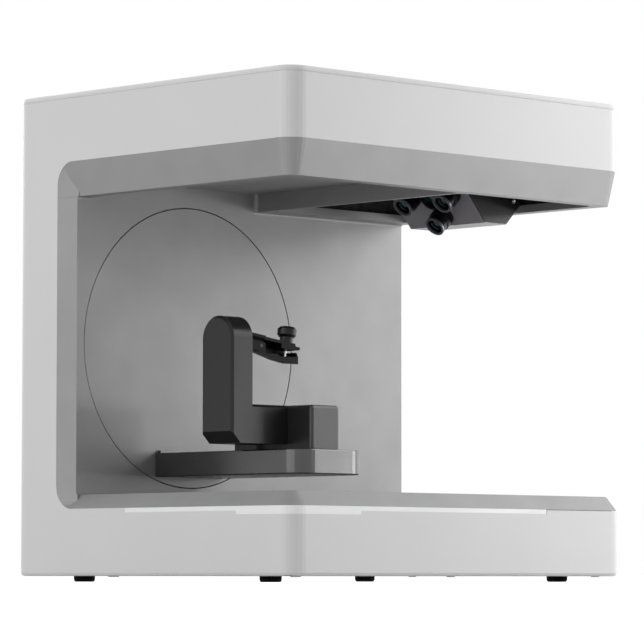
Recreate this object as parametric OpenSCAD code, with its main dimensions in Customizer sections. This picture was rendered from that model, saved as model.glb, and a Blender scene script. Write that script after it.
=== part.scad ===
// Desktop 3D scanner with an open C-shaped housing. A disc in the back wall swings an arm, the arm
// carries a turntable with a clamp fixture, and three cameras look down at the clamp from the head.
// Frame: X to the right seen from the front, Y to the back, Z up, origin on the table under the middle.

/* [Housing] */
// Width of the housing
body_w = 330.4; // [320:0.1:360]
// Depth of the housing, front to back
body_d = 278.4; // [270:0.1:310]
// Height of the housing without its feet
body_h = 336; // [332:0.5:370]
// Height of a foot
foot_h = 4; // [3:0.5:8]
// Diameter of a foot
foot_d = 14.8; // [10:0.2:20]
// Radius of the two upright front corners
front_corner_r = 14.4; // [8:0.2:20]
// Radius of the two upright back corners
back_corner_r = 11; // [8:0.5:18]
// Wall thickness of the mouldings
wall = 3; // [2.5:0.1:3.5]
// Rounding along the top and bottom edges
edge_r = 2.2; // [1:0.1:3]
// Height of the top cover above its seam
cover_h = 4.5; // [4:0.1:8]

/* [Opening] */
// Height of the base at its outer faces
base_h = 46.2; // [44:0.1:60]
// Height of the bevel from the base up to the deck
deck_rise = 10; // [6:0.5:14]
// How far the deck is set in from the outer faces
deck_inset = 7.5; // [6:0.1:10]
// Height of the head at its outer faces
head_h = 48; // [46:0.5:60]
// Height of the bevel from the head's faces down to its ceiling
head_drop = 24.5; // [20:0.5:26]
// How far the ceiling is set in from the outer faces
head_inset = 5.2; // [4:0.1:8]
// Depth of the column at its outer faces
column_d = 44.1; // [40:0.1:60]
// How far the back wall stands in front of the column's side faces
wall_rise = 16.3; // [10:0.1:20]
// How far the back wall is set in from the side faces
wall_inset = 4.4; // [3:0.1:8]
// Corner radius of the opening, seen on a side face
opening_r = 16.5; // [10:0.5:20]

/* [Head] */
// Height of the clear pocket over the swing arm
pocket_h = 13; // [8:0.5:16]
// Width of the rim round the ceiling pockets
rim_w = 10; // [8:0.5:14]
// X of the rib between the clear pocket and the camera bay
rib_x = 12; // [4:1:24]
// Width of that rib
rib_w = 3; // [2.5:0.5:4]
// Depth of the ceiling behind the camera bay
bay_back = 16.5; // [12:0.5:24]

/* [Light] */
// Height of the light strip
strip_h = 3; // [2:0.5:4]
// Height of the light strip near the corner
strip_corner_h = 5.5; // [4:0.5:8]
// Thickness of the light strip
strip_t = 1.6; // [1:0.1:2]
// Length of the light strip on the left face, from the front
strip_side_l = 161.9; // [120:0.1:180]
// Distance of the strip's right end from the right face
strip_gap = 82.6; // [60:0.1:120]
// Length of its high part on the left face
strip_corner_side = 51.4; // [40:0.1:60]
// Length of its high part on the front face
strip_corner_front = 65.9; // [50:0.1:80]

/* [Swing axis] */
// How far the swing axis lies above the middle of the opening
swing_rise = 2.15; // [0:0.05:3]
// Distance of the disc's round opening from the deck and the ceiling, before that rise
disc_margin = 3.35; // [3.05:0.05:10]
// Distance of the disc's round opening from the left edge of the back wall
disc_side = 6.5; // [4:0.5:12]
// Open groove round the swing disc
disc_gap = 0.6; // [0.4:0.1:1]
// Thickness of the swing disc
disc_t = 8; // [6:0.5:10]

/* [Arm] */
// Width of the arm
arm_w = 66.8; // [60:0.2:72]
// Thickness of the arm
arm_t = 17; // [16:0.5:18]
// How far the arm reaches out from the back wall
arm_l = 145.9; // [135:0.1:150]
// Open height under the arm, above the deck
arm_gap = 13.4; // [10:0.1:16]
// Radius of the arm's front corners
arm_r = 15.4; // [8:0.2:20]
// Distance of the turntable axis from the back wall
table_reach = 98.8; // [95:0.1:101]
// Radius of the turntable
table_r = 20.7; // [18:0.1:24]
// Height of the turntable's face above the arm
table_h = 3.9; // [3:0.1:5]

/* [Clamp fixture] */
// Thickness of the fixture's post
post_t = 19; // [16:0.5:22]
// Width of the fixture's post
post_w = 31.3; // [28:0.1:34]
// Distance of the post's outer face from the turntable axis
post_reach = 66; // [60:1:67]
// Height of the fixture's foot
fixture_foot_h = 26.7; // [22:0.1:30]
// Width of the mounting block
block_w = 27.2; // [24:0.2:30]
// Length of the mounting block
block_l = 78.2; // [70:0.2:80]
// Slope of the upper jaw
jaw_slope = 7.5; // [6:0.5:9]
// Width of the jaws
jaw_w = 13; // [11:0.5:14]
// Diameter of the clamp screw
screw_d = 2.2; // [2:0.1:2.6]
// Diameter of the clamp knob
knob_d = 13.4; // [11:0.1:15]

/* [Camera module] */
// Distance of the lens face's lower edge from the right end of the bay
carrier_side = 38.8; // [36:0.1:44]
// How far the camera carrier hangs below the ceiling
carrier_drop = 9.5; // [6:0.5:12]
// Distance of the carrier's front end from the turntable axis
carrier_reach = 33.5; // [30:0.1:38]
// Length of the camera carrier
carrier_l = 73.7; // [68:0.1:80]
// Width of the carrier's flat underside
carrier_foot = 23; // [18:0.5:26]
// Tilt of the lens face, measured from upright
lens_tilt = 42.5; // [40:0.5:45]
// Distance between the two upper lenses
lens_pitch = 39.4; // [38:0.2:42]
// Distance of the lower lens from the line of the upper ones
lens_drop = 19.2; // [18:0.1:22]
// Outer radius of a lens rim
lens_r = 7.6; // [6:0.1:8]
// How far the lenses stand out of the carrier
lens_out = 14; // [10:0.5:18]

/* [Fits] */
// Radial clearance of a running shaft
run = 0.05; // [0.02:0.01:0.1]
// Clearance between pieces that are seated in each other
seat = 0.15; // [0.1:0.05:0.3]
// Open air round a piece that moves
air = 0.5; // [0.4:0.1:1]

/* [Hidden] */
$fn = 64;
corner_steps = 8;
eps = 0.01;

// Housing: levels, and planes from front to back
z0 = foot_h;
z_top = z0 + body_h;
z_base = z0 + base_h;
z_deck = z_base + deck_rise;
z_head = z_top - head_h;
z_ceiling = z_head - head_drop;
z_pocket = z_ceiling + pocket_h;
z_seam = z_top - cover_h;
half_w = body_w / 2;
half_d = body_d / 2;
y_column = half_d - column_d;
y_wall = y_column - wall_rise;
fillet_r = 1.5;
plate_t = 2.5;
plate_top = z0 + wall;
inner_r = 6;
foot_front_x = half_w - 24.2;
foot_back_x = half_w - 26.8;
foot_front_y = -half_d + 43.4;
foot_back_y = half_d - 43.9;

// Ceiling pockets
bay_r = 8;
pocket_r = 3;
bay_lip = 5.5;
bay_x = [rib_x + rib_w / 2, half_w - head_inset - rim_w];
bay_y = [-half_d + head_inset + rim_w, y_wall - bay_back];
pocket_x = [-half_w + head_inset + rim_w, rib_x - rib_w / 2];
liner_t = 1.5;
liner_h = 29;
z_liner = z_ceiling + bay_lip;

// Rear opening and the panel in it
rear_x = half_w - back_corner_r - 2;
rear_z = [z0 + 12, z_seam - 8];
rear_ledge = 5;
rear_t = 2.5;
y_panel = half_d - rear_t - 1.5;
socket_z = z0 + 36;
inlet_x = rear_x - 40.2;
inlet_w = 24;
inlet_h = 16;
inlet_wall = 1.8;
inlet_rim = 3.2;
inlet_depth = 18;
rocker_x = inlet_x - 38;
rocker_w = 12;
rocker_pivot_y = y_panel - 1.5;
pivot_r = 1.2;
ports_x = rocker_x - 44;
port_pitch = 11;
port_w = 12.6;
port_h = 11.6;
fan_x = -rear_x + 60.2;
fan_z = z0 + 62;
fan_size = 60;
fan_t = 15;
fan_hub_r = 12;
fan_shaft_r = 2;
fan_strut_t = 3;
guard_w = 1.8;
vent_w = 3;
vent_h = 28;
vent_pitch = 10;
vent_rows = [z_top - 110, z_top - 76];

// Electronics in the base
supply_w = 86;
supply_l = 140;
supply_h = 30;
supply_x = half_w - 103.2;
supply_front = 39.2;
board_side = 37.2;
board_gap = 22;
board_front = 27.2;
board_l = 162;

// Swing disc and its drive in the column
disc_r = (z_ceiling - z_deck) / 2 - disc_margin;
swing_x = -half_w + wall_inset + disc_side + disc_r;
z_swing = (z_deck + z_ceiling) / 2 + swing_rise;
hub_r = 10;
frame_t = 3;
frame_y = half_d - 34;
belt_y = frame_y - 10;
belt_w = 6;
hub_pulley_r = 48;
disc_pulley_r = 8;
bearing_t = 10;
bearing_r = 17.5;
motor_size = 42;
motor_l = 26;
motor_reach = 128;
motor_x = swing_x + motor_reach;
motor_shaft_r = 2.5;

// Arm and turntable
arm_wall = 2.5;
arm_edge = 0.8;
arm_x = [swing_x - arm_w / 2, swing_x + arm_w / 2];
arm_y = y_wall - arm_l;
z_arm = z_deck + arm_gap;
z_arm_top = z_arm + arm_t;
arm_cover_t = 2;
flange_t = 3;
flange_lip = 1.8;
table_y = y_wall - table_reach;
z_table = z_arm_top + table_h;
table_shaft_r = 6;
table_bearing_r = 11;
table_bearing_t = 5;
table_pulley_r = 14;
arm_pulley_r = 6;
arm_motor_r = 14;
arm_motor_y = table_y + 62;
z_arm_belt = z_arm + arm_cover_t + 1.2;
arm_belt_w = 3.6;

// Clamp fixture
post_x = swing_x - post_reach;
post_r = post_w / 2;
post_in_x = post_x + post_t;
post_chamfer = 8;
soft_edge = 1.75;
foot_end_x = swing_x - block_w / 2;
block_r = 2.2;
block_edge = 2;
z_fixture_foot = z_table + fixture_foot_h;
pin_x = post_in_x + 14;
pin_z = z_swing - 4;
pin_r = 1.5;
lug_t = 2.5;
lug_w = jaw_w + 2 * lug_t + 2 * air;
jaw_t = 2.1;
jaw_l = 50;
jaw_top_z = z_swing + 5.4;
jaw_block_l = 13;
jaw_block_t = 5;
jaw_block_x = jaw_l - jaw_block_l;
screw_reach = 47;
collar_r = 4.6;
collar_h = 4.3;
knob_h = 7.2;
screw_low = 12.4;
jaw_ramp = 13.5;
lug_r = 3.2;
jaw_barrel_r = 3.4;

// Camera module: the lower front edge of the lens face, and unit steps along and out of that face
carrier_wall = 1.5;
carrier_x = bay_x[1] - carrier_side;
carrier_z = z_ceiling - carrier_drop;
carrier_y = [table_y - carrier_reach, table_y - carrier_reach + carrier_l];
carrier_top = z_liner + liner_h;
down = [sin(lens_tilt), -cos(lens_tilt)];
out = [-cos(lens_tilt), -sin(lens_tilt)];
lower_u = -9.9;
upper_u = lower_u - lens_drop;
projector_u = -26.5;
projector_r = 8;
projector_out = 5;

// ---- Shapes that many pieces share ----

// Points of one rounded corner at height z, counter-clockwise from above
function corner(cx, cy, r, start, z) =
    [for (i = [0:corner_steps])
        let (a = start + 90 * i / corner_steps)
            [cx + r * cos(a), cy + r * sin(a), z]];

// Points of a rounded rectangle at height z: x and y are its ranges, rf and rb its corner radii at the
// front and the back, and inset draws it in all round
function ring(x, y, rf, rb, inset, z) = concat(
    corner(x[0] + rf, y[0] + rf, max(rf - inset, 0.3), 180, z),
    corner(x[1] - rf, y[0] + rf, max(rf - inset, 0.3), 270, z),
    corner(x[1] - rb, y[1] - rb, max(rb - inset, 0.3), 0, z),
    corner(x[0] + rb, y[1] - rb, max(rb - inset, 0.3), 90, z));

function housing_ring(inset, z) =
    ring([-half_w, half_w], [-half_d, half_d], front_corner_r, back_corner_r, inset, z);

// Closed skin over a stack of rings that have the same number of points, from the lowest ring up
module skin(rings) {
    n = len(rings[0]);
    last = n * (len(rings) - 1);
    sides = [for (k = [0:len(rings) - 2], i = [0:n - 1])
        let (j = (i + 1) % n, a = k * n, b = a + n)
            each [[a + i, b + i, b + j], [a + i, b + j, a + j]]];
    polyhedron(
        [for (level = rings) each level],
        concat([[for (i = [0:n - 1]) i]], [[for (i = [n - 1:-1:0]) last + i]], sides));
}

// Upright block with rounded corners and soft edges of the sizes low and high
module soft_block(x, y, z, rf, rb, low, high) {
    skin(concat(
        low > 0 ? [ring(x, y, rf, rb, low, z[0]), ring(x, y, rf, rb, low * 0.3, z[0] + low * 0.3)] : [],
        [ring(x, y, rf, rb, 0, z[0] + low), ring(x, y, rf, rb, 0, z[1] - high)],
        high > 0 ? [ring(x, y, rf, rb, high * 0.3, z[1] - high * 0.3), ring(x, y, rf, rb, high, z[1])] : []));
}

module rounded_box(x, y, z, r) {
    translate([0, 0, z[0]])
        linear_extrude(z[1] - z[0])
            polygon([for (p = ring(x, y, r, r, 0, 0)) [p[0], p[1]]]);
}

module box(x, y, z) {
    translate([x[0], y[0], z[0]])
        cube([x[1] - x[0], y[1] - y[0], z[1] - z[0]]);
}

// Cylinder along Y, from y towards the back
module y_cylinder(r, y, h) {
    translate([0, y + h, 0])
        rotate([90, 0, 0])
            cylinder(h = h, r = r);
}

// Cylinder along X, from x towards the right
module x_cylinder(r, x, h) {
    translate([x, 0, 0])
        rotate([0, 90, 0])
            cylinder(h = h, r = r);
}

// Profile in the XZ plane, carried from y towards the back
module xz_extrude(y, l) {
    translate([0, y + l, 0])
        rotate([90, 0, 0])
            linear_extrude(l)
                children();
}

// Closed belt of width w round two pulleys, flat in the XY plane
module belt(a, b, ra, rb, w) {
    gap = 0.3;
    t = 1.2;
    linear_extrude(w)
        difference() {
            hull() {
                translate(a) circle(ra + gap + t, $fn = 32);
                translate(b) circle(rb + gap + t, $fn = 32);
            }
            hull() {
                translate(a) circle(ra + gap, $fn = 32);
                translate(b) circle(rb + gap, $fn = 32);
            }
        }
}

// ---- Housing ----

module base_form() {
    skin([housing_ring(edge_r, z0), housing_ring(edge_r * 0.3, z0 + edge_r * 0.3),
        housing_ring(0, z0 + edge_r), housing_ring(0, z_base), housing_ring(deck_inset, z_deck)]);
}

module head_form() {
    skin([housing_ring(head_inset, z_ceiling), housing_ring(0, z_head), housing_ring(0, z_seam)]);
}

// Steps of the two fillets that join the column to the deck or the ceiling, away from the outer faces:
// height, then how far the outer edge and the back wall run forward there
function fillet_levels(rise) =
    let (step = 90 / corner_steps, reach = rise + fillet_r)
        concat(
            [for (a = [90:-step:0])
                let (h = opening_r * (1 - sin(a)))
                    if (h < rise) [h, opening_r * (1 - cos(a)), fillet_r]],
            [for (a = [90:-2 * step:0])
                let (h = rise + fillet_r * (1 - sin(a)), left = max(opening_r - h, 0))
                    [h, opening_r - sqrt(pow(opening_r, 2) - pow(left, 2)), fillet_r * (1 - cos(a))]],
            opening_r > reach ? [[opening_r, 0, 0]] : []);

// Outline of the column's front part, from the outer edges to the back wall
function column_ring(z, outer, inner) = [
    [-half_w, y_column - outer, z], [-half_w + wall_inset, y_wall - inner, z],
    [half_w - wall_inset, y_wall - inner, z], [half_w, y_column - outer, z],
    [half_w, y_column + 2 * wall, z], [-half_w, y_column + 2 * wall, z]];

// The column, whose side faces slope in to the back wall
module column_form() {
    low = fillet_levels(deck_rise);
    high = fillet_levels(head_drop);
    skin(concat(
        [column_ring(z0 + edge_r, opening_r, fillet_r)],
        [for (f = low) column_ring(z_base + f[0], f[1], f[2])],
        [for (i = [len(high) - 1:-1:0]) column_ring(z_head - high[i][0], high[i][1], high[i][2])],
        [column_ring(z_seam, opening_r, fillet_r)]));
    translate([0, 0, z0 + edge_r])
        linear_extrude(z_seam - z0 - edge_r)
            polygon([for (p = concat([[-half_w, y_column + wall, 0], [half_w, y_column + wall, 0]],
                corner(half_w - back_corner_r, half_d - back_corner_r, back_corner_r, 0, 0),
                corner(-half_w + back_corner_r, half_d - back_corner_r, back_corner_r, 90, 0)))
                    [p[0], p[1]]]);
}

module housing_cavity() {
    low_x = half_w - wall;
    deck_x = half_w - deck_inset - wall;
    column_x = half_w - wall_inset - wall;
    y_in = y_wall + wall;
    rounded_box([-low_x, low_x], [-half_d + wall, y_in + inner_r], [z0 - 1, z_base - wall], inner_r);
    rounded_box([-deck_x, deck_x], [-half_d + deck_inset + wall, y_in + inner_r],
        [z0 + wall, z_deck - wall], inner_r);
    rounded_box([-low_x, low_x], [-half_d + wall, y_in + inner_r], [z_head + wall, z_top], inner_r);
    rounded_box([bay_x[0], half_w - head_inset - wall], [-half_d + head_inset + wall, y_in + inner_r],
        [z_liner, z_head + 2 * wall], inner_r);
    rounded_box([-column_x, column_x], [y_in, half_d - 2 * wall], [z0 - 1, z_top], inner_r);
    box([-rear_x + rear_ledge, rear_x - rear_ledge], [half_d - 3 * wall, half_d],
        [rear_z[0] + rear_ledge, rear_z[1] - rear_ledge]);
    rounded_box([-rear_x, rear_x], [y_panel, half_d + 1], rear_z, 1);
}

module ceiling_pockets() {
    rounded_box(pocket_x, [bay_y[0], y_wall], [z_ceiling - fillet_r - 1, z_pocket], pocket_r);
    rounded_box(bay_x, bay_y, [z_ceiling - 1, z_liner + 1], bay_r);
}

// Outer skin from y_end on the left face, round the front corner, to x_end on the front face
module corner_skin(x_end, y_end, h) {
    t = strip_t;
    outer = corner(-half_w + front_corner_r, -half_d + front_corner_r, front_corner_r, 180, 0);
    inner = corner(-half_w + front_corner_r, -half_d + front_corner_r, front_corner_r - t, 180, 0);
    inner_back = [for (i = [len(inner) - 1:-1:0]) inner[i]];
    translate([0, 0, z_base - h])
        linear_extrude(h)
            polygon([for (p = concat([[-half_w, y_end]], outer,
                [[x_end, -half_d], [x_end, -half_d + t]], inner_back, [[-half_w + t, y_end]]))
                    [p[0], p[1]]]);
}

module strip_form() {
    corner_skin(half_w - strip_gap, -half_d + strip_side_l, strip_h);
    corner_skin(-half_w + strip_corner_front, -half_d + strip_corner_side, strip_corner_h);
}

module housing() {
    color("gainsboro")
        difference() {
            union() {
                base_form();
                head_form();
                column_form();
            }
            housing_cavity();
            ceiling_pockets();
            strip_form();
            translate([swing_x, 0, z_swing])
                y_cylinder(disc_r, y_wall - 1, wall + 4, $fn = 128);
        }
}

module top_cover() {
    color("whitesmoke")
        difference() {
            skin([housing_ring(0.5, z_seam), housing_ring(0.5, z_seam + 0.6), housing_ring(0, z_seam + 0.9),
                housing_ring(0, z_top - edge_r), housing_ring(edge_r * 0.3, z_top - edge_r * 0.3),
                housing_ring(edge_r, z_top)]);
            rounded_box([-half_w + 2 * wall, half_w - 2 * wall], [-half_d + 2 * wall, half_d - 3 * wall],
                [z_seam - 1, z_seam + cover_h - wall], inner_r);
        }
}

module bottom_plate() {
    x = half_w - wall - seat;
    z = [plate_top - plate_t, plate_top];
    slot_l = 56;
    slot_w = 3;
    slot_pitch = 8;
    slot_x = half_w - 73;
    color("dimgray")
        difference() {
            union() {
                rounded_box([-x, x], [-half_d + wall + seat, y_wall + 2 * wall], z, inner_r);
                rounded_box([-x + wall_inset, x - wall_inset], [y_wall - 3 * wall, half_d - 2 * wall - seat],
                    z, inner_r);
            }
            for (side = [-1, 1], i = [0:9])
                translate([side * slot_x - slot_l / 2, (i - 6) * slot_pitch, z[0] - 1])
                    cube([slot_l, slot_w, plate_t + 2]);
        }
}

module feet() {
    floor_r = foot_d / 2 - 1.2;
    color("black")
        for (side = [-1, 1], place = [[foot_front_x, foot_front_y], [foot_back_x, foot_back_y]])
            translate([side * place[0], place[1], 0])
                rotate_extrude()
                    polygon([[0, 0], [floor_r, 0], [foot_d / 2 - 0.4, 0.5], [foot_d / 2, 1.4],
                        [foot_d / 2, plate_top - plate_t], [0, plate_top - plate_t]]);
}

module light_strip() {
    color("white")
        strip_form();
}

module rear_panel() {
    x = rear_x - seat;
    z = [rear_z[0] + seat, rear_z[1] - seat];
    cut_y = [y_panel - 1, half_d];
    ear_x = rocker_w / 2 + 1;
    color("whitesmoke")
        difference() {
            union() {
                rounded_box([-x, x], [y_panel, y_panel + rear_t], z, 0.9);
                for (side = [-1, 1])
                    translate([rocker_x + side * (ear_x + 1), rocker_pivot_y + 1, socket_z])
                        cube([2, 5, 6], center = true);
            }
            for (i = [-6:7], vent_z = vent_rows)
                translate([(i - 0.5) * vent_pitch - vent_w / 2, cut_y[0], vent_z])
                    cube([vent_w, rear_t + 2, vent_h]);
            translate([fan_x, 0, fan_z])
                fan_openings();
            box([inlet_x - inlet_w / 2 - inlet_wall - seat, inlet_x + inlet_w / 2 + inlet_wall + seat], cut_y,
                [socket_z - inlet_h / 2 - inlet_wall - seat, socket_z + inlet_h / 2 + inlet_wall + seat]);
            box([rocker_x - ear_x, rocker_x + ear_x], cut_y, [socket_z - 10.5, socket_z + 10.5]);
            translate([0, rocker_pivot_y, socket_z])
                x_cylinder(pivot_r + run, rocker_x - 2 * ear_x, 4 * ear_x);
            for (dx = [-port_pitch, port_pitch])
                box([ports_x + dx - port_w / 2 - seat, ports_x + dx + port_w / 2 + seat], cut_y,
                    [socket_z - port_h / 2 - seat, socket_z + port_h / 2 + seat]);
        }
}

// Air gaps of the fan's guard: rings, crossed by two bars
module fan_openings() {
    r_out = fan_size / 2 - 3;
    pitch = 6;
    difference() {
        for (r = [r_out:-pitch:pitch])
            difference() {
                y_cylinder(r, y_panel - 1, rear_t + 2);
                y_cylinder(r - pitch + guard_w, y_panel - 2, rear_t + 4);
            }
        for (a = [0, 90])
            rotate([0, 45 + a, 0])
                translate([0, y_panel + rear_t / 2, 0])
                    cube([fan_size, 2 * rear_t, guard_w], center = true);
    }
}

// ---- Camera module in the head ----

module bay_liner() {
    x = [bay_x[0] + seat, half_w - head_inset - wall - seat];
    y = [-half_d + head_inset + wall + seat, bay_y[1] + 6];
    t = liner_t;
    color("black")
        difference() {
            rounded_box(x, y, [z_liner, z_liner + liner_h + t], inner_r);
            rounded_box([x[0] + t, x[1] - t], [y[0] + t, y[1] - t], [z_liner - 1, z_liner + liner_h], inner_r - t);
        }
}

// Cross-section of the carrier, drawn in by inset
module carrier_profile(inset) {
    x_left = carrier_x - (carrier_top - carrier_z) * tan(lens_tilt);
    x_right = bay_x[1] - 2 * air;
    offset(delta = -inset)
        polygon([[carrier_x, carrier_z], [carrier_x + carrier_foot, carrier_z],
            [x_right, carrier_z + x_right - carrier_x - carrier_foot], [x_right, carrier_top + 2 * inset],
            [x_left - 2 * inset * tan(lens_tilt), carrier_top + 2 * inset]]);
}

// Places children in front of the lens face: u is the distance down the face, z points outwards
module on_lens_face(u, y) {
    p = [carrier_x, carrier_z] + u * down;
    translate([p[0], table_y + y, p[1]])
        rotate([0, -90 - lens_tilt, 0])
            children();
}

module at_lenses() {
    for (y = [-lens_pitch / 2, lens_pitch / 2])
        on_lens_face(upper_u, y)
            children();
    on_lens_face(lower_u, 0)
        children();
}

module camera_carrier() {
    w = carrier_wall;
    color("slategray")
        difference() {
            intersection() {
                xz_extrude(carrier_y[0], carrier_l)
                    carrier_profile(0);
                box([0, half_w], carrier_y, [z_ceiling - 40, carrier_top]);
            }
            xz_extrude(carrier_y[0] + w, carrier_l - 2 * w)
                carrier_profile(w);
            at_lenses()
                translate([0, 0, -2 * w])
                    cylinder(h = 4 * w, r = lens_r + seat);
            on_lens_face(projector_u, 0)
                translate([0, 0, -2 * w])
                    cylinder(h = 4 * w, r = projector_r + seat);
        }
}

module lens_barrels() {
    color("black")
        at_lenses()
            difference() {
                union() {
                    translate([0, 0, -10])
                        cylinder(h = lens_out + 8.5, r = lens_r - 0.2);
                    cylinder(h = 3, r = lens_r + 0.5);
                }
                translate([0, 0, lens_out - 9])
                    cylinder(h = 10, r = lens_r - 1.9);
            }
}

module lens_rims() {
    color("gray")
        at_lenses()
            translate([0, 0, lens_out - 1.5])
                difference() {
                    cylinder(h = 1.5, r = lens_r);
                    translate([0, 0, -1])
                        cylinder(h = 4, r = lens_r - 1.5);
                }
}

module lens_glasses() {
    color("lightcyan")
        at_lenses()
            translate([0, 0, lens_out - 9])
                cylinder(h = 3, r = lens_r - 1.9);
}

module camera_bodies() {
    size = 16.8;
    l = 14;
    color("darkslategray")
        at_lenses()
            translate([-size / 2, -size / 2, -10 - l])
                cube([size, size, l]);
}

module projector() {
    color("black")
        on_lens_face(projector_u, 0)
            difference() {
                union() {
                    translate([0, 0, -10])
                        cylinder(h = 10 + projector_out, r = projector_r);
                    translate([-7.2, -7.2, -26])
                        cube([14.4, 14.4, 16]);
                }
                translate([0, 0, projector_out - 6])
                    cylinder(h = 7, r = projector_r - 1.6);
            }
}

module projector_lens() {
    color("lightcyan")
        on_lens_face(projector_u, 0)
            translate([0, 0, projector_out - 6])
                cylinder(h = 2.5, r = projector_r - 1.6);
}

// ---- Inside the column and the base ----

module inner_frame() {
    x = half_w - wall_inset - wall;
    z = [plate_top, z_seam - 12];
    color("silver")
        difference() {
            union() {
                box([-x, x], [frame_y, frame_y + frame_t], z);
                translate([swing_x, 0, z_swing])
                    y_cylinder(bearing_r + 5, frame_y, bearing_t);
                box([-x, x], [frame_y, frame_y + 16], [z[0], z[0] + frame_t]);
            }
            translate([swing_x, 0, z_swing])
                y_cylinder(bearing_r, frame_y - 1, bearing_t + 2);
            translate([motor_x, 0, z_swing])
                y_cylinder(11, frame_y - 1, frame_t + 2);
            for (px = [-110, 0, 110], pz = [60, 270])
                rounded_slot(px, pz);
        }
}

module rounded_slot(px, pz) {
    for (dx = [-18, 18])
        translate([px + dx, 0, pz])
            y_cylinder(9, frame_y - 1, frame_t + 2);
    box([px - 18, px + 18], [frame_y - 1, frame_y + frame_t + 1], [pz - 9, pz + 9]);
}

module disc_bearing() {
    color("lightsteelblue")
        translate([swing_x, 0, z_swing])
            difference() {
                y_cylinder(bearing_r, frame_y, bearing_t);
                y_cylinder(hub_r + run, frame_y - 1, bearing_t + 2);
            }
}

module disc_motor() {
    y = frame_y + frame_t;
    s = motor_size / 2;
    color("dimgray")
        translate([motor_x, 0, z_swing])
            difference() {
                union() {
                    rounded_motor(s, y, motor_l * 0.3);
                    rounded_motor(s - 1, y + motor_l * 0.3, motor_l * 0.4);
                    rounded_motor(s, y + motor_l * 0.7, motor_l * 0.3);
                }
                y_cylinder(motor_shaft_r + run, y - 1, 13);
            }
}

module rounded_motor(s, y, l) {
    xz_extrude(y, l)
        polygon([for (side = [0:3], end = [-1, 1])
            let (a = side * 90, b = end * (s - 5))
                [s * cos(a) - b * sin(a), s * sin(a) + b * cos(a)]]);
}

module disc_motor_pulley() {
    color("silver")
        translate([motor_x, 0, z_swing]) {
            y_cylinder(motor_shaft_r, belt_y - 2, frame_y + frame_t + 10 - belt_y);
            y_cylinder(disc_pulley_r, belt_y, belt_w);
            y_cylinder(disc_pulley_r + 1.5, belt_y - 1.6, 1.2);
            y_cylinder(disc_pulley_r + 1.5, belt_y + belt_w + 0.4, 1.2);
        }
}

module disc_belt() {
    color("black")
        translate([0, belt_y + belt_w - 0.3, z_swing])
            rotate([90, 0, 0])
                belt([swing_x, 0], [motor_x, 0], hub_pulley_r, disc_pulley_r, belt_w - 0.6);
}

module main_board() {
    x = [-half_w + board_side, supply_x - board_gap];
    y = [-half_d + board_front, -half_d + board_front + board_l];
    post_h = 6;
    post_in = 5;
    board_t = 1.6;
    z = plate_top + post_h;
    top = z + board_t;
    heat_sink = 30;
    color("darkgreen") {
        box(x, y, [z, top]);
        for (px = [x[0] + post_in, x[1] - post_in], py = [y[0] + post_in, y[1] - post_in])
            translate([px, py, plate_top])
                cylinder(h = post_h, r = 3);
        for (i = [0:3])
            translate([x[0] + 18 + i * 30, y[0] + 52, top])
                cube([20, 20, board_t]);
        for (i = [0:4])
            translate([x[0] + 28 + i * 14, y[0] + 132, top])
                cylinder(h = 10, r = 4);
        translate([x[0] + 98, y[0] + 102, top])
            fins(heat_sink, 22, 6, 2, 12);
        for (i = [0:2])
            translate([x[0] + 8, y[0] + 82 + i * 22, top])
                cube([12, 16, 10]);
    }
}

// Base plate of size l by w with n upright fins of height h across it
module fins(l, w, n, t, h) {
    cube([l, w, t]);
    for (i = [0:n - 1])
        translate([0, i * (w - t) / (n - 1), 0])
            cube([l, t, h]);
}

module power_supply() {
    x = [supply_x, supply_x + supply_w];
    y = [-half_d + supply_front, -half_d + supply_front + supply_l];
    z = [plate_top, plate_top + supply_h];
    groove = 4;
    pitch = 12;
    margin = 8;
    color("silver")
        difference() {
            box(x, y, z);
            for (i = [1:10])
                translate([x[0] + margin, y[0] + i * pitch, z[1] - 2])
                    cube([supply_w - 2 * margin, groove, 3]);
        }
}

module power_inlet() {
    rim = inlet_wall + inlet_rim;
    pin_w = 2;
    pin_h = 4;
    back = y_panel + rear_t;
    color("black")
        difference() {
            union() {
                rounded_box([inlet_x - inlet_w / 2 - rim, inlet_x + inlet_w / 2 + rim], [back, back + 1.2],
                    [socket_z - inlet_h / 2 - rim + 0.5, socket_z + inlet_h / 2 + rim - 0.5], 0.5);
                box([inlet_x - inlet_w / 2 - inlet_wall, inlet_x + inlet_w / 2 + inlet_wall],
                    [y_panel - inlet_depth, back + 0.5],
                    [socket_z - inlet_h / 2 - inlet_wall, socket_z + inlet_h / 2 + inlet_wall]);
            }
            box([inlet_x - inlet_w / 2, inlet_x + inlet_w / 2], [y_panel - inlet_depth + 5, half_d],
                [socket_z - inlet_h / 2, socket_z + inlet_h / 2]);
        }
    color("silver")
        for (pin = [[-7, -1], [0, 3], [7, -1]])
            translate([inlet_x + pin[0] - pin_w / 2, y_panel - inlet_depth + 4.5, socket_z + pin[1] - pin_h / 2])
                cube([pin_w, inlet_depth - 6.5, pin_h]);
}

module power_rocker() {
    color("black")
        translate([0, 0, socket_z]) {
            translate([rocker_x, y_panel + 1, 0])
                rotate([0, 90, 0])
                    linear_extrude(rocker_w, center = true)
                        polygon([[-8.6, -2], [-9.1, 1.4], [0, 0.4], [9.1, 2.1], [8.6, -2], [2, -5], [-2, -5]]);
            translate([0, rocker_pivot_y, 0])
                x_cylinder(pivot_r, rocker_x - rocker_w / 2 - 2, rocker_w + 4);
        }
}

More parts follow.
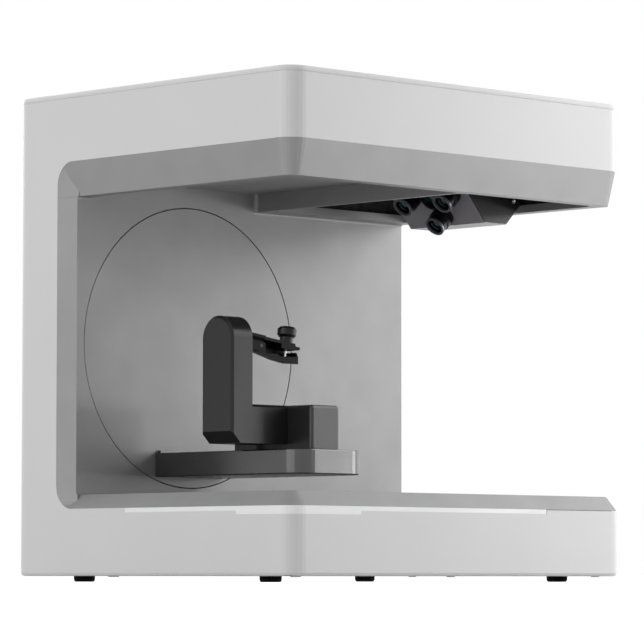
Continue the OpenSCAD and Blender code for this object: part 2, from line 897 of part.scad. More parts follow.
module data_ports() {
    shell = 1;
    depth = 16;
    board_w = 44;
    color("silver")
        for (dx = [-port_pitch, port_pitch])
            difference() {
                box([ports_x + dx - port_w / 2, ports_x + dx + port_w / 2],
                    [y_panel - depth, y_panel + rear_t - 0.5], [socket_z - port_h / 2, socket_z + port_h / 2]);
                box([ports_x + dx - port_w / 2 + shell, ports_x + dx + port_w / 2 - shell],
                    [y_panel - depth + 4, half_d], [socket_z - port_h / 2 + shell, socket_z + port_h / 2 - shell]);
            }
    color("darkgreen")
        translate([ports_x - board_w / 2, y_panel - depth - 4, socket_z - port_h / 2 - 1.6])
            cube([board_w, depth + 4, 1.6]);
}

module fan_frame() {
    s = fan_size / 2;
    y = y_panel - fan_t;
    color("black")
        translate([fan_x, 0, fan_z])
            difference() {
                union() {
                    difference() {
                        box([-s, s], [y, y_panel], [-s, s]);
                        y_cylinder(s - 1.5, y - 1, fan_t + 2);
                    }
                    y_cylinder(fan_hub_r, y, fan_strut_t);
                    for (a = [45:90:315])
                        rotate([0, a, 0])
                            translate([fan_hub_r - 2, y, -fan_strut_t / 2])
                                cube([s - fan_hub_r + 2, fan_strut_t, fan_strut_t]);
                }
                y_cylinder(fan_shaft_r + run, y - 1, fan_strut_t + 2);
            }
}

module fan_rotor() {
    s = fan_size / 2;
    y = y_panel - fan_t + fan_strut_t + 1;
    blade_l = s - 3 - fan_hub_r + 2;
    color("black")
        translate([fan_x, 0, fan_z]) {
            y_cylinder(fan_shaft_r, y - 3, 4);
            y_cylinder(fan_hub_r, y, 9);
            for (a = [0:360 / 7:359])
                rotate([0, a, 0])
                    translate([fan_hub_r - 2, y + 4.5, 0])
                        rotate([40, 0, 0])
                            translate([0, -5, -0.8])
                                cube([blade_l, 10, 1.6]);
        }
}

// ---- Swing disc and arm ----

module swing_disc() {
    r = disc_r - disc_gap;
    color("lightgray")
        translate([swing_x, y_wall + disc_t, z_swing])
            rotate([90, 0, 0])
                rotate_extrude($fn = 128)
                    polygon([[0, 0], [r - 1.5, 0], [r, 1.5], [r, disc_t - 0.3], [r - 0.3, disc_t], [0, disc_t]]);
}

module disc_hub() {
    l = frame_y + bearing_t + 3 - y_wall - disc_t;
    y1 = belt_y - y_wall - disc_t;
    color("silver")
        translate([swing_x, y_wall + disc_t, z_swing])
            rotate([-90, 0, 0])
                rotate_extrude()
                    polygon([[0, 0], [30, 0], [30, 3], [hub_r + 4, 3], [hub_r + 4, y1], [hub_pulley_r, y1],
                        [hub_pulley_r, y1 + belt_w], [hub_r + 4, y1 + belt_w], [hub_r, y1 + belt_w + 1],
                        [hub_r, l - 1], [hub_r - 1, l], [0, l]]);
}

module arm_flange() {
    w = arm_w / 2 - arm_wall - seat;
    color("dimgray")
        box([swing_x - w, swing_x + w], [y_wall - flange_t, y_wall],
            [z_arm + arm_cover_t + seat, z_arm_top + flange_lip]);
}

// Outline of the arm drawn in by inset, open to the back by extra
module arm_hollow(inset, extra, z) {
    rounded_arm([arm_x[0] + inset, arm_x[1] - inset], [arm_y + inset, y_wall + extra], z, arm_r - inset);
}

module rounded_arm(x, y, z, r) {
    translate([0, 0, z[0]])
        linear_extrude(z[1] - z[0])
            polygon([for (p = ring(x, y, r, 0.5, 0, 0)) [p[0], p[1]]]);
}

module arm_shell() {
    z_in = z_arm_top - arm_wall;
    color("dimgray")
        difference() {
            union() {
                difference() {
                    soft_block(arm_x, [arm_y, y_wall], [z_arm, z_arm_top], arm_r, arm_edge + 0.3,
                        arm_edge, arm_edge);
                    arm_hollow(arm_wall, 1, [z_arm - 1, z_in]);
                }
                translate([swing_x, table_y, z_in - table_bearing_t])
                    cylinder(h = table_bearing_t + 1, r = table_bearing_r + 3);
            }
            translate([swing_x, table_y, z_in - table_bearing_t - 1])
                cylinder(h = table_bearing_t + 1, r = table_bearing_r);
            translate([swing_x, table_y, z_in - 1])
                cylinder(h = arm_wall + 2, r = table_shaft_r + air);
            box([arm_x[0] + arm_wall, arm_x[1] - arm_wall], [y_wall - flange_t - seat, y_wall + 1],
                [z_arm - 1, z_arm_top + 1]);
        }
}

module arm_cover() {
    color("dimgray")
        difference() {
            arm_hollow(arm_wall + seat, -flange_t - 2 * seat, [z_arm, z_arm + arm_cover_t]);
            for (dx = [-22, 22], y = [arm_y + 22, y_wall - 16])
                translate([swing_x + dx, y, z_arm - 1])
                    cylinder(h = 2, r = 2.5);
        }
}

module table_bearing() {
    z = z_arm_top - arm_wall - table_bearing_t;
    color("lightsteelblue")
        translate([swing_x, table_y, z])
            difference() {
                cylinder(h = table_bearing_t, r = table_bearing_r);
                translate([0, 0, -1])
                    cylinder(h = table_bearing_t + 2, r = table_shaft_r + run);
            }
}

module arm_motor() {
    z = z_arm_belt + arm_belt_w + 1;
    color("silver")
        translate([swing_x, arm_motor_y, z])
            difference() {
                cylinder(h = z_arm_top - arm_wall - z, r = arm_motor_r);
                translate([0, 0, -1])
                    cylinder(h = 4, r = 1.5 + run);
            }
}

module arm_motor_pulley() {
    color("silver")
        translate([swing_x, arm_motor_y, z_arm_belt]) {
            cylinder(h = arm_belt_w, r = arm_pulley_r);
            cylinder(h = arm_belt_w + 3, r = 1.5);
        }
}

module arm_belt() {
    color("black")
        translate([0, 0, z_arm_belt + 0.2])
            belt([swing_x, table_y], [swing_x, arm_motor_y], table_pulley_r, arm_pulley_r, arm_belt_w - 0.4);
}

// ---- Turntable and clamp fixture ----

module turntable() {
    color("black")
        translate([swing_x, table_y, z_arm_belt])
            rotate_extrude()
                polygon([[0, 0], [table_pulley_r, 0], [table_pulley_r, arm_belt_w], [table_shaft_r + 1, arm_belt_w],
                    [table_shaft_r, arm_belt_w + 0.6], [table_shaft_r, z_arm_top + air - z_arm_belt],
                    [table_r - 0.4, z_arm_top + air - z_arm_belt], [table_r, z_arm_top + air + 0.4 - z_arm_belt],
                    [table_r, z_table - z_arm_belt], [0, z_table - z_arm_belt]]);
}

// Block across the turntable, which sits in a round recess of its underside
module mounting_block() {
    color("dimgray")
        difference() {
            soft_block([swing_x - block_w / 2, swing_x + block_w / 2],
                [table_y - block_l / 2, table_y + block_l / 2],
                [z_arm_top + air, z_fixture_foot], block_r, block_r, 0, block_edge);
            translate([swing_x, table_y, z_arm_top])
                cylinder(h = table_h, r = table_r + seat);
        }
}

// Round-topped outline of the post, drawn in by inset, l long along X from x
module post_slab(x, l, inset) {
    r = post_r - inset;
    translate([x, table_y, z_swing])
        rotate([0, 90, 0])
            cylinder(h = l, r = r);
    box([x, x + l], [table_y - r, table_y + r], [z_table, z_swing]);
}

module fixture_bracket() {
    color("dimgray")
        intersection() {
            union() {
                post_slab(post_x + soft_edge, foot_end_x - post_x - soft_edge, 0);
                hull() {
                    post_slab(post_x, eps, soft_edge);
                    post_slab(post_x + soft_edge, eps, 0);
                }
            }
            difference() {
                xz_extrude(table_y - post_w, 2 * post_w)
                    polygon([[post_x + post_chamfer, z_table], [foot_end_x, z_table], [foot_end_x, z_fixture_foot],
                        [post_in_x, z_fixture_foot], [post_in_x, z_swing + post_w], [post_x, z_swing + post_w],
                        [post_x, z_table + post_chamfer]]);
                translate([post_in_x, table_y - post_r, z_fixture_foot - soft_edge])
                    rotate([45, 0, 0])
                        cube([post_w * 2, soft_edge * 4, soft_edge * 4]);
            }
        }
}

// Places children on the sloped top face of the upper jaw, x away from the post
module on_jaw(x) {
    translate([post_in_x, table_y, jaw_top_z])
        rotate([0, jaw_slope, 0])
            translate([x, 0, 0])
                children();
}

// Point of the jaw's side view: x along its sloped top face from the post, and d deep below that face
function jaw_point(x, d) = [post_in_x + x * cos(jaw_slope) - d * sin(jaw_slope),
    jaw_top_z - x * sin(jaw_slope) - d * cos(jaw_slope)];

module upper_jaw() {
    tip_l = 8;
    tip_w = 6;
    tip_d = [1.1, 3.1];
    step = 0.25;
    wide = lug_w / 2 + 2 * step;
    plate_end = pin_x + 4;
    block_end = jaw_point(jaw_l, 0)[0] + 0.3;
    tip_x = jaw_l + tip_l;
    side = [[post_in_x, jaw_top_z], jaw_point(jaw_l, 0), jaw_point(jaw_l, tip_d[0]),
        jaw_point(tip_x, tip_d[0]), jaw_point(tip_x, tip_d[1]), jaw_point(jaw_l, tip_d[1]),
        jaw_point(jaw_l, jaw_block_t), jaw_point(jaw_block_x, jaw_block_t), jaw_point(jaw_block_x, jaw_t),
        [post_in_x, jaw_top_z - jaw_t / cos(jaw_slope)]];
    half = [[post_in_x - 1, wide], [plate_end, wide], [plate_end, jaw_w / 2],
        [block_end, jaw_w / 2], [block_end, tip_w / 2], [tip_x + post_in_x, tip_w / 2]];
    last = len(half) - 1;
    color("dimgray")
        difference() {
            union() {
                intersection() {
                    xz_extrude(table_y - lug_w, 2 * lug_w)
                        polygon(side);
                    translate([0, table_y, z_swing - post_w])
                        linear_extrude(2 * post_w)
                            polygon(concat(half, [for (i = [last:-1:0]) [half[i][0], -half[i][1]]]));
                }
                box([post_in_x, post_in_x + 2], [table_y - lug_w / 2 - step, table_y + lug_w / 2 + step],
                    [pin_z - lug_r - step, jaw_top_z - 1]);
                for (y = [-lug_w / 2, lug_w / 2 - lug_t])
                    xz_extrude(table_y + y, lug_t)
                        lug_profile();
            }
            translate([pin_x, 0, pin_z])
                y_cylinder(pin_r, table_y - lug_w, 2 * lug_w);
            on_jaw(screw_reach)
                translate([0, 0, -jaw_block_t - 1])
                    cylinder(h = jaw_block_t + 2, r = screw_d / 2 + run);
        }
}

module lug_profile() {
    hull() {
        translate([pin_x, pin_z])
            circle(lug_r, $fn = 32);
        translate([post_in_x + 1, pin_z - lug_r + 0.2])
            square([1, 2 * lug_r - 0.4]);
    }
}

module jaw_pin() {
    proud = 0.2;
    color("dimgray")
        translate([pin_x, 0, pin_z])
            y_cylinder(pin_r, table_y - lug_w / 2 - proud, lug_w + 2 * proud);
}

// Lever under the upper jaw: a trough whose back wall is higher than its front, on a rising floor
module lower_jaw() {
    low = z_swing - 15.3;
    knee_x = post_in_x + 36.7;
    tip = post_in_x + 52.1;
    tail = pin_x - 6;
    y_near = table_y - jaw_w / 2;
    jaw_wall = 1.5;
    front_h = 4.9;
    tail_rise = 7.6;
    slot = [screw_reach - 4, screw_reach + 2.9];
    color("dimgray")
        difference() {
            union() {
                difference() {
                    xz_extrude(y_near, jaw_w)
                        polygon([[tail, low + tail_rise - 0.8], [knee_x, low - 0.8], [tip, low - 0.8],
                            [tip, low + 8.1], jaw_point(jaw_l, jaw_block_t + 0.8),
                            jaw_point(jaw_block_x - 1.2, jaw_block_t + 0.8),
                            jaw_point(jaw_block_x - 1.2, jaw_t + 1.2), [pin_x + 3, pin_z + 3.1],
                            [pin_x - 2, pin_z + 2.6], [tail, pin_z - 0.5]]);
                    translate([0, y_near, low])
                        rotate([jaw_ramp, 0, 0]) {
                            xz_extrude(-5, 3 * jaw_w)
                                polygon([[tail - 5, tail_rise + 1.3], [knee_x, 0], [tip + 5, 0],
                                    [tip + 5, -20], [tail - 5, -20]]);
                            xz_extrude(jaw_wall, jaw_w - 2 * jaw_wall)
                                polygon([[pin_x + 7, 6.6], [knee_x, 2.2], [tip - jaw_wall, 2.2],
                                    [tip - jaw_wall, 30], [pin_x + 7, 30]]);
                        }
                    xz_extrude(y_near - 1, jaw_w - jaw_wall + 1)
                        polygon([[pin_x + 5.5, pin_z + 2.9], [knee_x - 2, low + front_h],
                            [tip + 5, low + front_h + 0.2], [tip + 5, pin_z + 10], [pin_x + 5.5, pin_z + 10]]);
                }
                translate([tip - jaw_wall, y_near, low + front_h])
                    rotate([90, 0, 90])
                        linear_extrude(jaw_wall)
                            polygon([[0, -2], [jaw_w, 1], [jaw_w, 3.2], [jaw_wall, 3.2], [0, 0]]);
                translate([pin_x, 0, pin_z])
                    y_cylinder(jaw_barrel_r, y_near, jaw_w);
            }
            translate([pin_x, 0, pin_z])
                y_cylinder(pin_r + run, y_near - 1, jaw_w + 2);
            translate([post_in_x + slot[0], table_y - screw_d / 2 - 0.4, low - 1])
                cube([slot[1] - slot[0], screw_d + 0.8, 30]);
        }
}

module clamp_screw() {
    color("silver")
        on_jaw(screw_reach)
            translate([0, 0, -screw_low])
                cylinder(h = screw_low + 3, r = screw_d / 2);
}

module clamp_knob() {
    gap = 0.3;
    color("black")
        on_jaw(screw_reach)
            difference() {
                rotate_extrude()
                    polygon([[screw_d / 2, gap], [collar_r, gap], [collar_r, collar_h], [knob_d / 2 - 1.2, collar_h],
                        [knob_d / 2, collar_h + 1.5], [knob_d / 2, collar_h + knob_h - 1.6],
                        [knob_d / 2 - 1.6, collar_h + knob_h], [0, collar_h + knob_h], [0, 3], [screw_d / 2, 3]]);
                translate([-knob_d, -0.8, collar_h + knob_h - 2.5])
                    cube([2 * knob_d, 1.6, 5]);
            }
}

housing();
top_cover();
bottom_plate();
rear_panel();
feet();
light_strip();
bay_liner();
camera_carrier();
lens_barrels();
lens_rims();
lens_glasses();
camera_bodies();
projector();
projector_lens();
inner_frame();
disc_bearing();
disc_motor();
disc_motor_pulley();
disc_belt();
main_board();
power_supply();
power_inlet();
power_rocker();
data_ports();
fan_frame();
fan_rotor();
swing_disc();
disc_hub();
arm_flange();
arm_shell();
arm_cover();
table_bearing();
arm_motor();
arm_motor_pulley();
arm_belt();
turntable();
mounting_block();
fixture_bracket();
upper_jaw();
jaw_pin();
lower_jaw();
clamp_screw();
clamp_knob();
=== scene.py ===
"""Looks of the desktop 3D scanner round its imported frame: finishes, small fasteners, light, camera.

All lengths are in metres, in the shared frame: +X right, +Y back, +Z up, floor at Z = 0.
"""
import math

import bmesh
import bpy
from mathutils import Matrix, Vector


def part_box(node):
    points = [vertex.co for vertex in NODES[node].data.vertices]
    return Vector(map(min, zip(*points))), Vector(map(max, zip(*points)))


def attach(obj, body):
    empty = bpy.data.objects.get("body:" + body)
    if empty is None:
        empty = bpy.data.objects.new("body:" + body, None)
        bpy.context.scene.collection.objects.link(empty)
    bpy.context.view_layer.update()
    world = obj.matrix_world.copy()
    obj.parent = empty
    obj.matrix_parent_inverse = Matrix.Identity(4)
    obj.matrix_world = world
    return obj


# ---- The photograph's view, fitted to the housing's corners ----
IMAGE_W = 644
FOCAL_PX = 3887.78
SENSOR_MM = 36.0
AZIMUTH = math.radians(-44.376)
PITCH = math.radians(3.729)
ROLL = math.radians(-0.035)
CAMERA_AT = Vector((-1.9221, -1.9648, 0.0045))
FAR_CLIP = 50

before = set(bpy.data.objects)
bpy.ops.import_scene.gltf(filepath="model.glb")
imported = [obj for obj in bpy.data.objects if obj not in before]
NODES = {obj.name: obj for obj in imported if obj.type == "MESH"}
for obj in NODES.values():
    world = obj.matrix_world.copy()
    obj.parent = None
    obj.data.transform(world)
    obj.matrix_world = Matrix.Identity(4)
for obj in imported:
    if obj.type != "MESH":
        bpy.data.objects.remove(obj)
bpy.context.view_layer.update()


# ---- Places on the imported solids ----

def low_corner(name):
    """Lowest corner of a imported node."""
    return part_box(name)[0]


def high_corner(name):
    """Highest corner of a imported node."""
    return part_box(name)[1]


# How far the back wall stands in front of the column's sides, and the height of the head
WALL_RISE = 0.0163
HEAD_H = 0.048

# Faces of the housing, its base and its head
HALF_W = high_corner("housing").x
Y_FRONT = low_corner("housing").y
Y_BACK = high_corner("housing").y
Y_COLUMN = low_corner("swing_disc").y + WALL_RISE
Z_UNDER = low_corner("housing").z
Z_BASE = high_corner("light_strip").z
Z_TOP = high_corner("top_cover").z
Z_HEAD = Z_TOP - HEAD_H


# ---- Helpers for node materials ----

# Sockets of the Mix node: its kinds of data share one set of names, so they go by number
MIX_FACTOR = 0
MIX_VALUES = (2, 3)
MIX_COLORS = (6, 7)
MIX_VALUE_OUT = 0
MIX_COLOR_OUT = 2

# Part of a noise's range that spread() uses, since noise seldom reaches 0 or 1
NOISE_LOW = 0.3
NOISE_HIGH = 0.7

# Places in the noise, so that gloss, colour and relief don't follow each other
GLOSS_SEED = 3.0
COLOR_SEED = 7.0
GLASS_SEED = 2.0

SEED_SHIFT = (1, 0.7, 1.3)

# Size of the patches of gloss beside that of the grain
PATCH_SCALE = 40


class Shader:
    """A Principled material with a few helpers, so that a finish below reads as a short recipe."""

    def __init__(self, name, color, rough, metallic=0.0, specular=0.5):
        self.mat = bpy.data.materials.new(name)
        self.mat.use_nodes = True
        self.tree = self.mat.node_tree
        self.bsdf = self.tree.nodes["Principled BSDF"]
        self.coords = self.tree.nodes.new("ShaderNodeTexCoord").outputs["Object"]
        self.normal = None
        self.set(Base_Color=(*color, 1.0), Roughness=rough, Metallic=metallic,
            Specular_IOR_Level=specular)

    def set(self, **values):
        """Sets sockets of the shader to plain values."""
        for name, value in values.items():
            self.bsdf.inputs[name.replace("_", " ")].default_value = value
        return self

    def link(self, source, name):
        """Links a source to a socket of the shader."""
        self.tree.links.new(source, self.bsdf.inputs[name])
        return self

    def noise(self, size, detail=2.0, stretch=(1, 1, 1), seed=0.0):
        """Noise between 0 and 1 whose grains are about size across."""
        mapping = self.tree.nodes.new("ShaderNodeMapping")
        mapping.inputs["Scale"].default_value = stretch
        mapping.inputs["Location"].default_value = [seed * part for part in SEED_SHIFT]
        self.tree.links.new(self.coords, mapping.inputs["Vector"])
        tex = self.tree.nodes.new("ShaderNodeTexNoise")
        tex.inputs["Scale"].default_value = 1.0 / size
        tex.inputs["Detail"].default_value = detail
        self.tree.links.new(mapping.outputs["Vector"], tex.inputs["Vector"])
        return tex.outputs["Fac"]

    def spread(self, fac, low, high):
        """Maps a noise to the range low..high."""
        node = self.tree.nodes.new("ShaderNodeMapRange")
        node.inputs["From Min"].default_value = NOISE_LOW
        node.inputs["From Max"].default_value = NOISE_HIGH
        node.inputs["To Min"].default_value = low
        node.inputs["To Max"].default_value = high
        self.tree.links.new(fac, node.inputs["Value"])
        return node.outputs["Result"]

    def mix(self, fac, a, b):
        """Colour between a and b, which are colours or carry them."""
        node = self.tree.nodes.new("ShaderNodeMix")
        node.data_type = "RGBA"
        self.tree.links.new(fac, node.inputs[MIX_FACTOR])
        for socket, source in zip(MIX_COLORS, (a, b)):
            if isinstance(source, bpy.types.NodeSocket):
                self.tree.links.new(source, node.inputs[socket])
            else:
                node.inputs[socket].default_value = (*source, 1.0)
        return node.outputs[MIX_COLOR_OUT]

    def blend(self, fac, a, b):
        """Value between the values that a and b carry."""
        node = self.tree.nodes.new("ShaderNodeMix")
        self.tree.links.new(fac, node.inputs[MIX_FACTOR])
        for socket, source in zip(MIX_VALUES, (a, b)):
            self.tree.links.new(source, node.inputs[socket])
        return node.outputs[MIX_VALUE_OUT]

    def math(self, kind, a, b=None):
        """Result of one Math node on a link and, if it has one, a second link or number."""
        node = self.tree.nodes.new("ShaderNodeMath")
        node.operation = kind
        self.tree.links.new(a, node.inputs[0])
        if isinstance(b, (int, float)):
            node.inputs[1].default_value = b
        elif b is not None:
            self.tree.links.new(b, node.inputs[1])
        return node.outputs[0]

    def bump(self, fac, depth):
        """Adds relief of about this depth on top of any relief already there."""
        node = self.tree.nodes.new("ShaderNodeBump")
        node.inputs["Strength"].default_value = 1.0
        node.inputs["Distance"].default_value = depth
        self.tree.links.new(fac, node.inputs["Height"])
        if self.normal is not None:
            self.tree.links.new(self.normal, node.inputs["Normal"])
        self.normal = node.outputs["Normal"]
        return self.link(self.normal, "Normal")

    def grain(self, size, depth, rough):
        """Fine moulded or painted texture: relief, and patches of more and less gloss."""
        self.bump(self.noise(size, detail=3.0), depth)
        patches = self.noise(size * PATCH_SCALE, seed=GLOSS_SEED)
        return self.link(self.spread(patches, *rough), "Roughness")

    def drift(self, size, a, b):
        """Colour that changes slowly between a and b over about this size."""
        return self.mix(self.spread(self.noise(size, seed=COLOR_SEED), 0.0, 1.0), a, b)

    def shade(self, size, a, b):
        """Gives the surface a colour that changes slowly between a and b."""
        return self.link(self.drift(size, a, b), "Base Color")


def tone(value, tint=(1.0, 1.0, 1.0)):
    """Linear colour of a grey that is written as it shows on screen, 0 to 1, by the sRGB curve."""
    linear = ((value + 0.055) / 1.055) ** 2.4 if value > 0.04045 else value / 12.92
    return tuple(linear * part for part in tint)


# ---- Finishes ----

# The white of the housing and the covers, and how much darker its patches are
WHITE_TONE = 0.905
WHITE_DRIFT = 0.008
WHITE_PATCH = 0.08

# The textured paint of the recess, the disc and the small painted parts
RECESS_TONE = 0.572
PAINT_GRAIN = 0.0008
PAINT_DEPTH = 0.00004
PAINT_ROUGH = (0.5, 0.53)
PAINT_METAL = 0.4
PAINT_PATCH = 0.03
PAINT_SHADE = 0.96
RECESS_SHADE = 0.97

# A hair beside the housing's faces, between which its recess lies
EDGE = 0.00005


def moulded_white(name, value):
    shader = Shader(name, tone(value), rough=0.5, specular=0.35)
    shader.grain(size=0.0006, depth=0.00001, rough=(0.42, 0.5))
    return shader.shade(WHITE_PATCH, tone(value), tone(value - WHITE_DRIFT)).mat


def recess_mask(shader):
    """1 on the faces of the housing's open mouth, 0 on its outer faces."""
    split = shader.tree.nodes.new("ShaderNodeSeparateXYZ")
    shader.tree.links.new(shader.coords, split.inputs["Vector"])
    side = shader.math("ABSOLUTE", split.outputs["X"])
    mask = shader.math("LESS_THAN", side, HALF_W - EDGE)
    for axis, kind, limit in (("Y", "LESS_THAN", Y_COLUMN + EDGE),
            ("Z", "GREATER_THAN", Z_BASE + EDGE), ("Z", "LESS_THAN", Z_HEAD - EDGE)):
        mask = shader.math("MULTIPLY", mask, shader.math(kind, split.outputs[axis], limit))
    return mask


def two_tone(name, outside, inside):
    """Smooth white shell whose recess is finished in the same textured grey paint as the disc."""
    shader = Shader(name, tone(outside), rough=0.45)
    mask = recess_mask(shader)
    white = shader.drift(WHITE_PATCH, tone(outside), tone(outside - WHITE_DRIFT))
    grey = shader.drift(PAINT_PATCH, tone(inside), tone(inside * RECESS_SHADE))
    patches = shader.noise(size=0.02, seed=GLOSS_SEED)
    smooth = shader.spread(patches, low=0.44, high=0.47)
    rough = shader.spread(patches, *PAINT_ROUGH)
    shader.link(shader.math("MULTIPLY", mask, PAINT_METAL), "Metallic")
    shader.link(shader.mix(mask, white, grey), "Base Color")
    shader.link(shader.blend(mask, smooth, rough), "Roughness")
    shader.bump(shader.noise(size=0.0006, detail=3.0), depth=0.000006)
    paint = shader.math("MULTIPLY", mask, shader.noise(PAINT_GRAIN, detail=3.0))
    return shader.bump(paint, PAINT_DEPTH).mat


def painted(name, value, size=PAINT_GRAIN, tint=(1.0, 1.0, 1.0)):
    shader = Shader(name, tone(value, tint), PAINT_ROUGH[0], metallic=PAINT_METAL)
    shader.grain(size, depth=PAINT_DEPTH, rough=PAINT_ROUGH)
    darker = tone(value * PAINT_SHADE, tint)
    return shader.shade(PAINT_PATCH, tone(value, tint), darker).mat


def satin_black(name, value, rough=(0.28, 0.32), ior=1.6, specular=0.5):
    shader = Shader(name, tone(value), rough[0], specular=specular)
    shader.set(IOR=ior)
    shader.grain(size=0.0004, depth=0.000004, rough=rough)
    return shader.shade(size=0.02, a=tone(value), b=tone(value * 0.9)).mat


def anodised(name, value, rough=(0.3, 0.38), tint=(1.0, 1.0, 1.0)):
    shader = Shader(name, tone(value, tint), rough[0], metallic=0.75)
    shader.grain(size=0.0003, depth=0.000003, rough=rough)
    return shader.shade(size=0.01, a=tone(value, tint), b=tone(value * 0.92, tint)).mat


def ground_steel(name, value=0.78):
    """Bright steel with fine grinding lines along Z."""
    shader = Shader(name, tone(value), rough=0.2, metallic=1.0)
    lines = shader.noise(size=0.0005, stretch=(1, 1, 0.05))
    shader.link(shader.spread(lines, low=0.2, high=0.32), "Roughness")
    return shader.bump(lines, depth=0.000004).mat


def rubber(name, value):
    shader = Shader(name, tone(value), rough=0.7, specular=0.1)
    shader.grain(size=0.0005, depth=0.00003, rough=(0.6, 0.8))
    return shader.shade(size=0.004, a=tone(value), b=tone(value * 1.3)).mat


def glowing_strip(name):
    """Milky diffuser with a weak light of its own."""
    white, dimmer = tone(0.94), tone(0.925)
    shader = Shader(name, white, rough=0.35, specular=0.4)
    shader.set(Emission_Color=(1.0, 1.0, 1.0, 1.0), Emission_Strength=0.12,
        Subsurface_Weight=0.15, Subsurface_Scale=0.003)
    shader.grain(size=0.0008, depth=0.000008, rough=(0.3, 0.4))
    return shader.shade(size=0.02, a=white, b=dimmer).mat


# Teal put in the glass's base colour as a painted reflection of the lens coat
REFLECTION_TEAL_DEEP = (0.02, 0.09, 0.1)
REFLECTION_TEAL_PALE = (0.1, 0.3, 0.32)


def coated_glass(name, level=1.0):
    """Dark glass under a teal coat, whose base colour carries a painted teal reflection of the coat;
    level dims that painted reflection.
    """
    shader = Shader(name, (0.015, 0.05, 0.055), rough=0.04, specular=0.9)
    shader.set(Coat_Weight=1.0, Coat_Roughness=0.02, Coat_IOR=1.9,
        Coat_Tint=(0.45, 0.95, 1.0, 1.0))
    # Painted reflection: patches between the two teals in the base colour
    low, high = ([part * level for part in teal] for teal in (REFLECTION_TEAL_DEEP, REFLECTION_TEAL_PALE))
    depth = shader.mix(shader.noise(size=0.006, seed=GLASS_SEED), low, high)
    return shader.link(depth, "Base Color").mat


def circuit_board(name):
    shader = Shader(name, (0.01, 0.09, 0.035), rough=0.35)
    tracks = shader.noise(size=0.004, detail=0.0, stretch=(1, 0.2, 1))
    shader.bump(tracks, depth=0.00003)
    return shader.shade(size=0.003, a=(0.008, 0.08, 0.03), b=(0.02, 0.14, 0.06)).mat


def pressed_zinc(name):
    shader = Shader(name, tone(0.7), rough=0.35, metallic=0.9)
    spangle = shader.noise(size=0.006, detail=1.0)
    shader.link(shader.spread(spangle, low=0.28, high=0.45), "Roughness")
    shader.bump(spangle, depth=0.00001)
    return shader.shade(size=0.006, a=tone(0.72), b=tone(0.64)).mat


SHELL = two_tone("shell_white", WHITE_TONE, RECESS_TONE)
COVER = moulded_white("cover_white", WHITE_TONE)
DISC = painted("disc_paint", RECESS_TONE)
ARM = satin_black("arm_satin_black", 0.15, rough=(0.24, 0.28), ior=1.75)
FIXTURE = satin_black("fixture_black", 0.1, rough=(0.3, 0.34), ior=1.42, specular=0.42)
BLOCK = satin_black("block_black", 0.14, rough=(0.32, 0.36), ior=1.5)
TABLE = anodised("table_anodised", 0.15)
JAW = satin_black("jaw_satin_black", 0.06, rough=(0.4, 0.45), ior=1.3, specular=0.18)
KNOB = satin_black("knob_black", 0.07, rough=(0.3, 0.36), ior=1.4, specular=0.4)
CARRIER = painted("carrier_grey", 0.64, tint=(1.0, 0.96, 1.02))
# Black of the carrier's end caps: partly their own dark finish, partly painted shade under the head
CAP_BLACK_AND_SHADE = satin_black("carrier_cap_black_and_shade", 0.12, rough=(0.3, 0.36), ior=1.4)
BARREL = anodised("lens_barrel_black", 0.10)
RIM = anodised("lens_rim_grey", 0.52, rough=(0.4, 0.5), tint=(1.0, 0.95, 1.04))
GLASS = coated_glass("glass_coated")
DARK_GLASS = coated_glass("projector_glass", level=0.15)
STEEL = ground_steel("ground_steel")

FINISH = {
    "housing": SHELL,
    "top_cover": COVER,
    "rear_panel": COVER,
    "bottom_plate": painted("plate_grey", 0.45, size=0.001),
    "feet": rubber("foot_rubber", 0.03),
    "light_strip": glowing_strip("strip_light"),
    "bay_liner": rubber("liner_black", 0.22),
    "camera_carrier": CARRIER,
    "lens_barrels": BARREL,
    "lens_rims": RIM,
    "lens_glasses": GLASS,
    "camera_bodies": anodised("camera_black", 0.16),
    "projector": BARREL,
    "projector_lens": DARK_GLASS,
    "inner_frame": pressed_zinc("frame_zinc"),
    "disc_bearing": STEEL,
    "disc_motor": satin_black("motor_black", 0.2),
    "disc_motor_pulley": STEEL,
    "disc_belt": rubber("belt_rubber", 0.11),
    "main_board": circuit_board("board_green"),
    "power_supply": pressed_zinc("supply_zinc"),
    "power_inlet": rubber("inlet_black", 0.12),
    "power_rocker": satin_black("rocker_black", 0.12),
    "data_ports": ground_steel("port_steel", 0.72),
    "fan_frame": satin_black("fan_black", 0.13, rough=(0.5, 0.6)),
    "fan_rotor": satin_black("fan_blade_black", 0.11, rough=(0.5, 0.6)),
    "swing_disc": DISC,
    "disc_hub": STEEL,
    "arm_flange": ARM,
    "arm_shell": ARM,
    "arm_cover": ARM,
    "table_bearing": STEEL,
    "arm_motor": STEEL,
    "arm_motor_pulley": STEEL,
    "arm_belt": rubber("small_belt_rubber", 0.11),
    "turntable": TABLE,
    "mounting_block": BLOCK,
    "fixture_bracket": FIXTURE,
    "upper_jaw": JAW,
    "lower_jaw": JAW,
    "jaw_pin": anodised("pin_dark", 0.16),
    "clamp_screw": STEEL,
    "clamp_knob": KNOB,
}

# Width of the softened edges of the machined and moulded pieces
SOFT_EDGES = {
    "camera_carrier": 0.0004,
    "upper_jaw": 0.00025,
    "rear_panel": 0.0003,
    "fan_frame": 0.0005,
    "power_inlet": 0.0004,
    "power_rocker": 0.0004,
    "data_ports": 0.0002,
    "arm_cover": 0.0003,
    "turntable": 0.0002,
}
NODE_EDGE_ANGLE = math.radians(35)
SMOOTH_ANGLE = math.radians(30)


def soften(obj, width):
    """Rounds the object's edges over a width, and returns the modifier that does it."""
    edges = obj.modifiers.new("soft_edges", "BEVEL")
    edges.width = width
    edges.segments = 2
    edges.limit_method = "ANGLE"
    return edges


